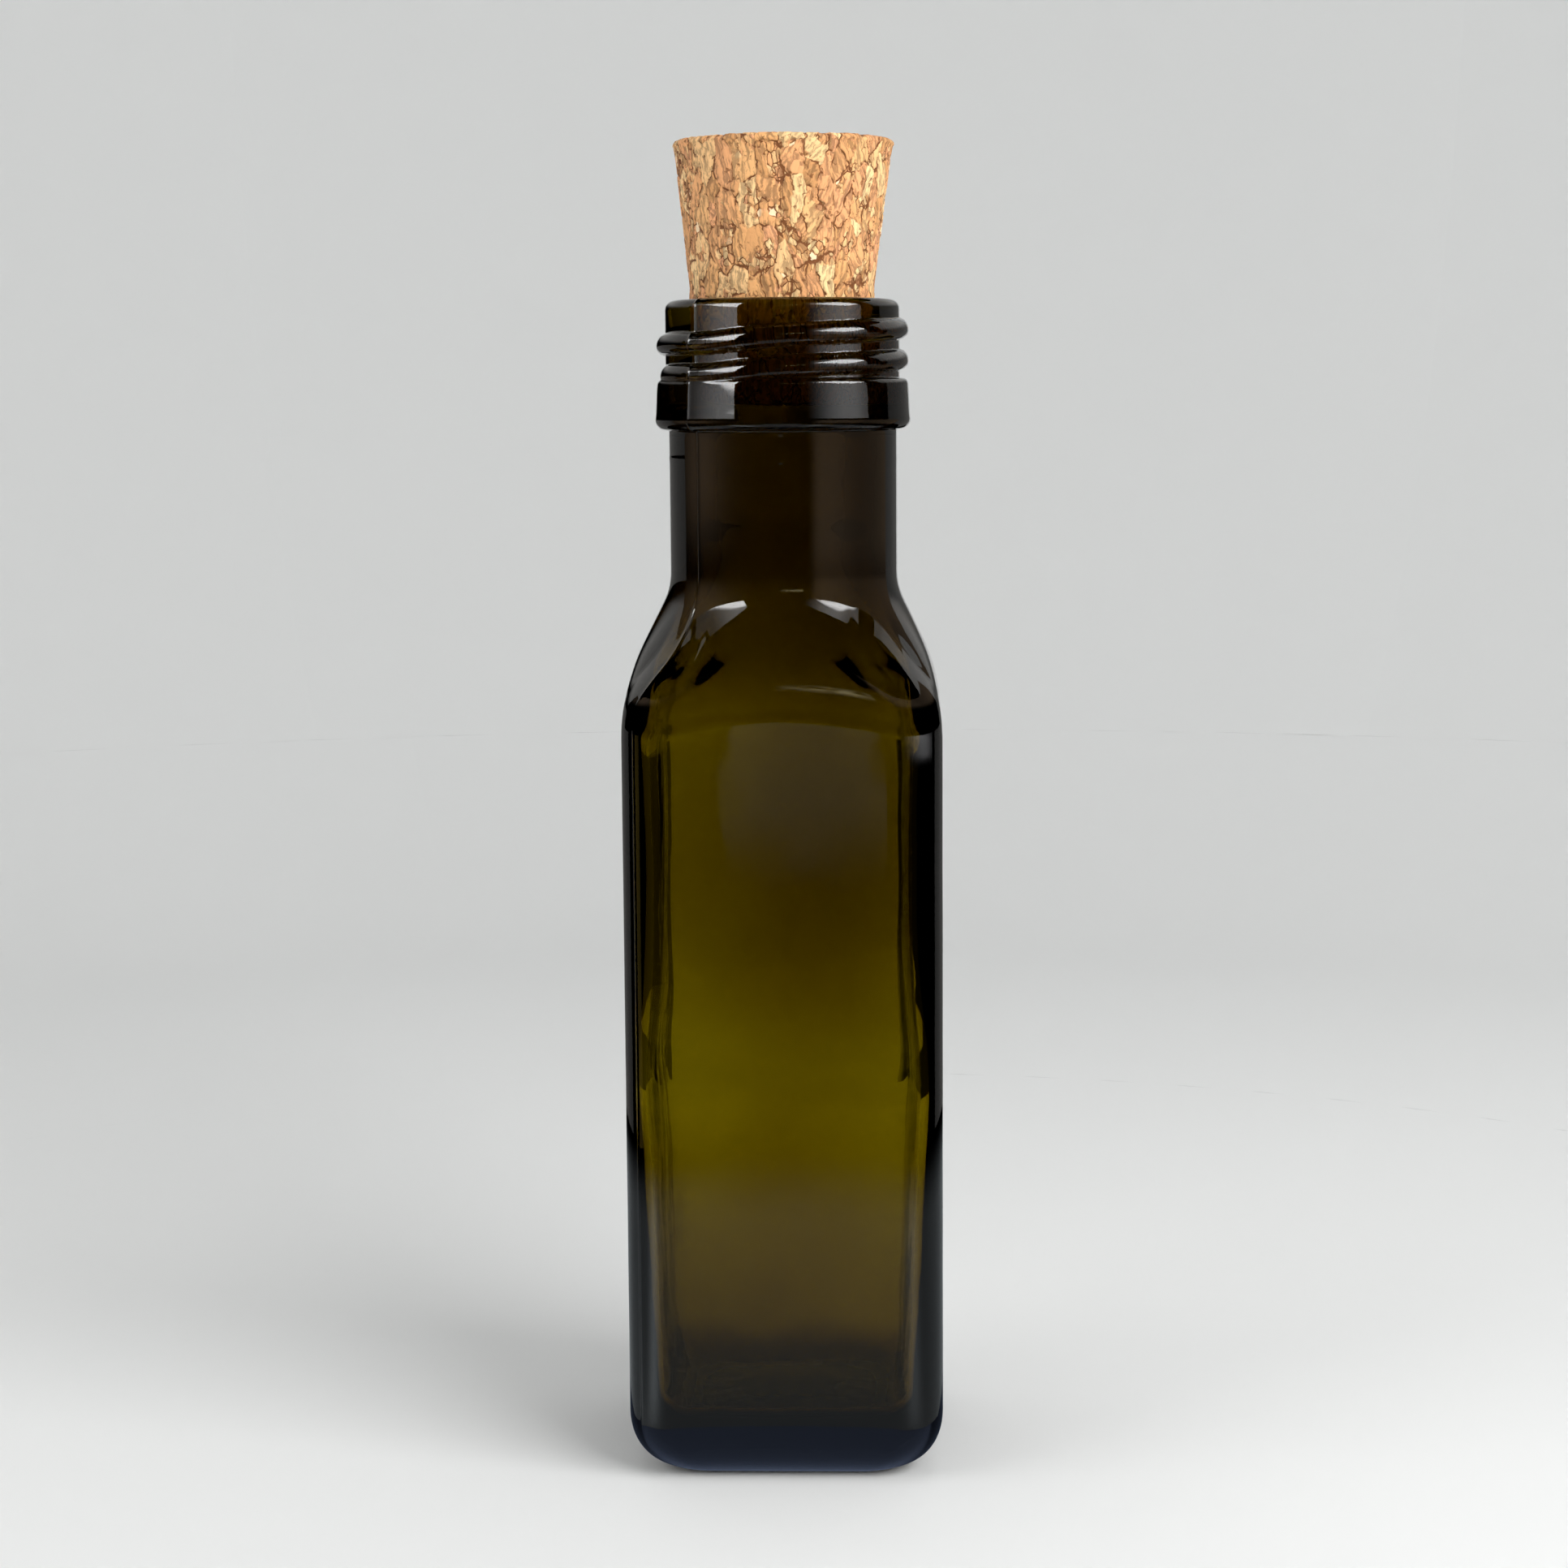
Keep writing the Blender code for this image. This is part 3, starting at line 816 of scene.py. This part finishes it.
def sweep_mesh(name, sectors, profile):
    """Part of a round floor or sweep: a profile turned through sectors, in degrees from +X."""
    bm = bmesh.new()
    for start, end in sectors:
        columns = max(2, round((end - start) / 4))
        rings = []
        for reach, height in profile:
            turns = [radians(start + (end - start) * i / columns) for i in range(columns + 1)]
            rings.append([bm.verts.new((reach * cos(a), reach * sin(a), height)) for a in turns])
        for inner, outer in zip(rings, rings[1:]):
            for i in range(columns):
                bm.faces.new((inner[i], outer[i], outer[i + 1], inner[i + 1]))
    bmesh.ops.remove_doubles(bm, verts=bm.verts, dist=1e-6)
    obj = new_object(name, bm)
    obj.data.shade_smooth()
    return obj


def matt_white(stage):
    """Smooth matt white board."""
    material, _, shader = new_material("matt_white")
    shader.inputs["Base Color"].default_value = (*stage.floor_colour, 1.0)
    shader.inputs["Roughness"].default_value = 0.6
    shader.inputs["Specular IOR Level"].default_value = 0.0
    return material


def painted_table_reflection(turn, reach, height):
    """Painted reflection of the lit table: fading away from the bottle, with the softboxes' streaks
    across it as painted highlights.
    """
    fade = reach.reversed_from(0.185).ramp(0.0, 0.05)
    left = (turn + radians(140)).bell(radians(10))
    right = (turn + radians(46)).bell(radians(11)) * 0.55
    return ((left + right) * reach.ramp(0.022, 0.065) + 0.32) * fade


def painted_heel_reflection(turn, reach, height):
    """Painted reflection of the table in front of the heel, with painted shadow making it dark
    under the bottle.
    """
    forward = turn.math("SINE") * reach * -1.0
    return forward.ramp(0.0125, 0.0165) * 0.34 + 0.08


def painted_side_reflection(turn, reach, height):
    """Painted reflection of a wall that is dim low down and bright above, with painted shade making
    it dark beside the collar on the left.
    """
    from_front = (turn + pi / 2).math("PINGPONG", pi)
    low = from_front.ramp(radians(110), radians(112)) * 0.18
    # The collar mask cuts painted shade into the reflected wall beside the collar on the left
    collar = height.ramp(0.122, 0.127) * turn.ramp(radians(98), radians(104))
    return height.ramp(0.18, 0.30) * 0.6 + low * collar.reversed_from(1.0)


def painted_neck_reflection(turn, reach, height):
    """A dark flag round the neck, seen only in the glass: painted shade on the neck's reflection,
    glowing as a painted reflection on its right and in one strip on its left.
    """
    from_front = turn + pi / 2
    right = from_front.ramp(radians(22), radians(34))
    right = right * from_front.reversed_from(radians(130)).ramp(0.0, radians(8))
    right = right * (from_front.ramp(radians(40), radians(75)) * 0.5).reversed_from(1.0)
    left = (turn + radians(163)).math("PINGPONG", pi).bell(radians(24)) * 0.9
    return (right * height.ramp(0.103, 0.1124) + left * height.ramp(0.106, 0.1205)) * 0.48


def painted_view_through_glass(turn, reach, height):
    """Painted glow that the corners of the glass show through them low down: dim at the left and
    dimmer at the right.
    """
    on_right = turn.reversed_from(radians(90)).ramp(0.0, radians(1))
    beside = turn.ramp(radians(79), radians(86.6)) * on_right * 0.4
    return beside + turn.ramp(radians(89), radians(91)) * 0.15 + 0.03


def painted_front_reflection(turn, reach, height):
    """Painted reflection on the glass's front: a dim patch with ragged, soft edges."""
    ragged = noise(turn.tree, object_place(turn.tree), 45.0, 2.0) - 0.5
    across = (turn + radians(90.95)).math("ABSOLUTE") + ragged * radians(1.2)
    level = across.reversed_from(radians(2.65)).ramp(0.0, radians(0.5))
    return level * (height + ragged * 0.02).ramp(-0.014, 0.016) * 0.23


def painted_corner_reflection(turn, reach, height):
    """Painted reflection: the brown that the left corner of the body shows."""
    behind = turn.math("ABSOLUTE").reversed_from(pi)
    return behind.reversed_from(radians(16)).ramp(0.0, radians(8)) * 0.95


def painted_ridge_highlight(turn, reach, height):
    """Painted highlight: a thin broken line along the shoulder's lower edge, brighter to the right.
    """
    broken = noise(turn.tree, object_place(turn.tree), 60.0, 2.0)
    along = (turn + radians(93.0)).ramp(0.0, radians(6.5)) * 2.1 + 0.3
    across = (height - 0.300).bell(0.017)
    return along * across * broken.ramp(0.36, 0.56)


def painted_hip_highlight(turn, reach, height):
    """Painted highlight: a soft spot where the right shoulder meets the corner, rising to the left.
    """
    from_spot = turn + radians(24)
    across = (height - 0.060 + from_spot * 0.03).bell(0.035)
    return from_spot.bell(radians(26)) * across * height.ramp(0.028, 0.036) * 1.7


def painted_light_card(name, sectors, profile, tint, glow, seen_in="glossy"):
    """A glowing card, no lamp, that shows only in the glass: painted light in its reflections, and
    through it where seen_in asks for transmission.

    glow gives its strength from the turn round the bottle, the distance from it and the height.
    """
    obj = sweep_mesh(name, sectors, profile)
    material, tree, _ = new_material(name)
    x, y, z = split(tree, object_place(tree))
    strength = glow(*polar(x, y), z)
    lamp = add_node(tree, "ShaderNodeEmission", {"Color": (*tint, 1.0), "Strength": strength})
    tree.links.new(lamp.outputs[0], tree.nodes["Material Output"].inputs["Surface"])
    obj.data.materials.append(material)
    for kind in ("camera", "diffuse", "glossy", "transmission", "shadow"):
        setattr(obj, "visible_" + kind, kind == seen_in)


def aimed_light(name, turn_degrees, rise_degrees, distance, size, energy, aim_height):
    """An area light aimed at the axis from a direction: 0 is towards -Y, and + turns to +X."""
    data = bpy.data.lights.new(name, "AREA")
    data.shape = "RECTANGLE"
    data.size, data.size_y = size
    data.energy = energy
    obj = link_object(name, data)
    turn = radians(turn_degrees)
    rise = radians(rise_degrees)
    level = cos(rise)
    way = Vector((sin(turn) * level, -cos(turn) * level, sin(rise)))
    obj.location = Vector((0.0, 0.0, aim_height)) + way * distance
    obj.rotation_euler = way.to_track_quat("Z", "Y").to_euler()
    obj.visible_camera = False
    return obj


def soft_fill(*placing):
    """A light that brightens surfaces but isn't itself seen in the glass."""
    obj = aimed_light(*placing)
    obj.visible_glossy = False
    obj.visible_transmission = False


def right_shape(from_front):
    """How bright the right softbox is across its width."""
    rising = from_front.ramp(radians(22), radians(60))
    return rising * (from_front.ramp(radians(66), radians(86)) * 0.6).reversed_from(1.0)


def left_shape(from_front):
    """How bright the left softbox is across its width."""
    return (from_front.ramp(radians(44), radians(92)) * 0.88).reversed_from(1.0) * 1.25


def seen_softbox(name, turn_degrees, size, shape):
    """An upright softbox for the glass to reflect: dim all over, and bright across its middle."""
    width, height = size
    energy = SOFTBOX_BRIGHTNESS * pi * width * height
    obj = aimed_light(name, turn_degrees, 0, FRONT_REACH, size, energy, SOFTBOX_BOTTOM + height / 2)
    obj.visible_diffuse = False
    obj.visible_transmission = False
    obj.data.use_nodes = True
    tree = obj.data.node_tree
    x, y, z = split(tree, add_node(tree, "ShaderNodeNewGeometry").outputs["Position"])
    level = shape((y.math("ARCTAN2", x) + pi / 2).math("PINGPONG", pi))
    up = (z - SOFTBOX_BOTTOM) / height
    bright = level * 0.35 - (up - 0.5).math("ABSOLUTE")
    level = bright.ramp(0.0, 0.12) * 0.85 + level * 0.15
    join(tree, level, tree.nodes["Emission"].inputs["Strength"])


def place_camera(stage):
    """Set the camera as the photograph was taken."""
    data = bpy.data.cameras.new("camera")
    data.lens = stage.lens
    data.sensor_width = 36.0
    obj = link_object("camera", data)
    azimuth = stage.camera_azimuth
    place = Vector((stage.camera_distance * sin(azimuth),
                    -stage.camera_distance * cos(azimuth), stage.camera_height))
    look = (Matrix.Rotation(azimuth + stage.camera_turn, 4, "Z")
            @ Matrix.Rotation(pi / 2 - stage.camera_tilt, 4, "X")
            @ Matrix.Rotation(-stage.camera_roll, 4, "Z"))
    obj.matrix_world = Matrix.Translation(place) @ look
    bpy.context.scene.camera = obj


class MARASCA_OT_set_stage(bpy.types.Operator):
    """Set the pale sweep, the soft lights and the camera"""

    bl_idname = "marasca.set_stage"
    bl_label = "Set the stage"

    def execute(self, context):
        stage = context.scene.marasca_stage
        near = stage.near_floor
        bend = SWEEP_REACH - LEVEL_FLOOR
        wall = [(near, 0.0)] + arc((LEVEL_FLOOR, bend), bend, -pi / 2, 0.0, 90)
        wall.append((SWEEP_REACH, SWEEP_TOP))
        disc = [(near * share, 0.0) for share in (0.0, 0.25, 0.5, 0.75, 1.0)]
        back_from = 90 - degrees(stage.bright_right)
        back_to = 90 + degrees(stage.bright_left)
        board = matt_white(stage)

        # The sweep goes all round, but the glass doesn't show its low part at the sides and front
        low_wall = [point for point in wall if point[1] < LOW_SWEEP]
        high_wall = wall[len(low_wall) - 1:]
        floor = sweep_mesh("near_floor", [(0, 360)], disc)
        low_behind = sweep_mesh("low_behind", [(back_from, back_to)], low_wall)
        low_round = sweep_mesh("low_round", [(back_to - 360, back_from)], low_wall)
        high_behind = sweep_mesh("high_behind", [(73, 107)], high_wall)
        high_round = sweep_mesh("high_round", [(107 - 360, 73)], high_wall)
        for obj in (floor, low_behind, low_round, high_behind, high_round):
            obj.data.materials.append(board)
        for obj in (floor, low_round, high_round):
            obj.visible_glossy = False
        low_round.visible_transmission = False

        # Glowing cards, no lamps, that only the glass shows, all painted light: reflections of the
        # table near the bottle, dim walls beside it, shoulder highlights, a view through the
        # corners, and a dark flag whose painted shade keeps the softboxes off the neck
        bluish = (0.88, 0.96, 1.0)
        painted_light_card("painted_heel_card", [(0, 360)], [(0.0, 0.0), (0.02, 0.0), (0.036, 0.0)],
                  (0.52, 0.65, 1.0), painted_heel_reflection)
        painted_light_card("painted_table_card", [(0, 360)],
                  [(TABLE_REACH * share, 0.0) for share in (0.19, 0.4, 0.6, 0.8, 1.0)],
                  bluish, painted_table_reflection)
        painted_light_card("painted_side_card", [(12, 72), (108, 168)], [(CARD_REACH, -0.08), (CARD_REACH, 0.55)],
                  (1.0, 0.98, 0.94), painted_side_reflection)
        painted_light_card("painted_corner_card", [(172, 196)], [(CARD_REACH, -0.08), (CARD_REACH, 0.075)],
                  (1.0, 0.72, 0.16), painted_corner_reflection)
        painted_light_card("painted_ridge_card", [(-92.5, -68)], [(FRONT_REACH, 0.270), (FRONT_REACH, 0.330)],
                  (1.0, 0.88, 0.52), painted_ridge_highlight)
        painted_light_card("painted_spot_card", [(-64, 12)], [(CARD_REACH, 0.020), (CARD_REACH, 0.108)],
                  (0.98, 0.98, 1.0), painted_hip_highlight)
        painted_light_card("painted_neck_flag", [(-72, 22), (170, 252)],
                  [(FLAG_REACH, 0.090), (FLAG_REACH, 0.1265)], (1.0, 0.72, 0.47), painted_neck_reflection)
        painted_light_card("painted_view_card", [(-20, back_from), (back_to, 200)], low_wall, (1.0, 1.0, 1.0),
                  painted_view_through_glass, "transmission")
        painted_light_card("painted_front_card", [(-94.5, -88)], [(FRONT_REACH, -0.04), (FRONT_REACH, 0.068)],
                  bluish, painted_front_reflection)

        world = bpy.data.worlds.new("studio")
        context.scene.world = world
        world.use_nodes = True
        background = world.node_tree.nodes["Background"]
        background.inputs["Color"].default_value = (0.99, 1.0, 1.01, 1.0)
        background.inputs["Strength"].default_value = stage.ambient
        world.cycles_visibility.glossy = False
        world.cycles_visibility.transmission = False

        soft_fill("key_fill", 48, 36, 0.60, (0.42, 0.34), 3.0, 0.0)
        soft_fill("left_fill", -60, 32, 0.60, (0.34, 0.34), 0.8, 0.0)
        soft_fill("top_fill", 180, 84, 0.80, (0.6, 0.6), 0.9, 0.0)
        seen_softbox("right_box", 53, (0.66, 0.563), right_shape)
        seen_softbox("left_box", -69.5, (0.573, 0.563), left_shape)
        place_camera(stage)
        context.scene.view_settings.view_transform = "Standard"
        return {"FINISHED"}


class MARASCA_PT_panel(bpy.types.Panel):
    """The bottle's pieces and its stage"""

    bl_label = "Marasca bottle"
    bl_idname = "MARASCA_PT_panel"
    bl_space_type = "VIEW_3D"
    bl_region_type = "UI"
    bl_category = "Marasca bottle"

    def draw(self, context):
        scene = context.scene
        for title, settings, operator in (
                ("Glass", scene.marasca_glass, MARASCA_OT_make_bottle),
                ("Cork", scene.marasca_cork, MARASCA_OT_make_cork),
                ("Stage", scene.marasca_stage, MARASCA_OT_set_stage)):
            box = self.layout.box()
            box.label(text=title)
            for name in settings.__annotations__:
                box.prop(settings, name)
            box.operator(operator.bl_idname)


CLASSES = (GlassSettings, CorkSettings, StageSettings, MARASCA_OT_make_bottle,
           MARASCA_OT_make_cork, MARASCA_OT_set_stage, MARASCA_PT_panel)
SETTINGS = {"marasca_glass": GlassSettings, "marasca_cork": CorkSettings,
            "marasca_stage": StageSettings}


def register():
    for cls in CLASSES:
        bpy.utils.register_class(cls)
    for name, group in SETTINGS.items():
        setattr(bpy.types.Scene, name, bpy.props.PointerProperty(type=group))


def unregister():
    for name in SETTINGS:
        delattr(bpy.types.Scene, name)
    for cls in reversed(CLASSES):
        bpy.utils.unregister_class(cls)


def main():
    """Register the add-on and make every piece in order."""
    register()
    bpy.ops.marasca.make_bottle()
    bpy.ops.marasca.make_cork()
    bpy.ops.marasca.set_stage()


if __name__ == "__main__":
    main()
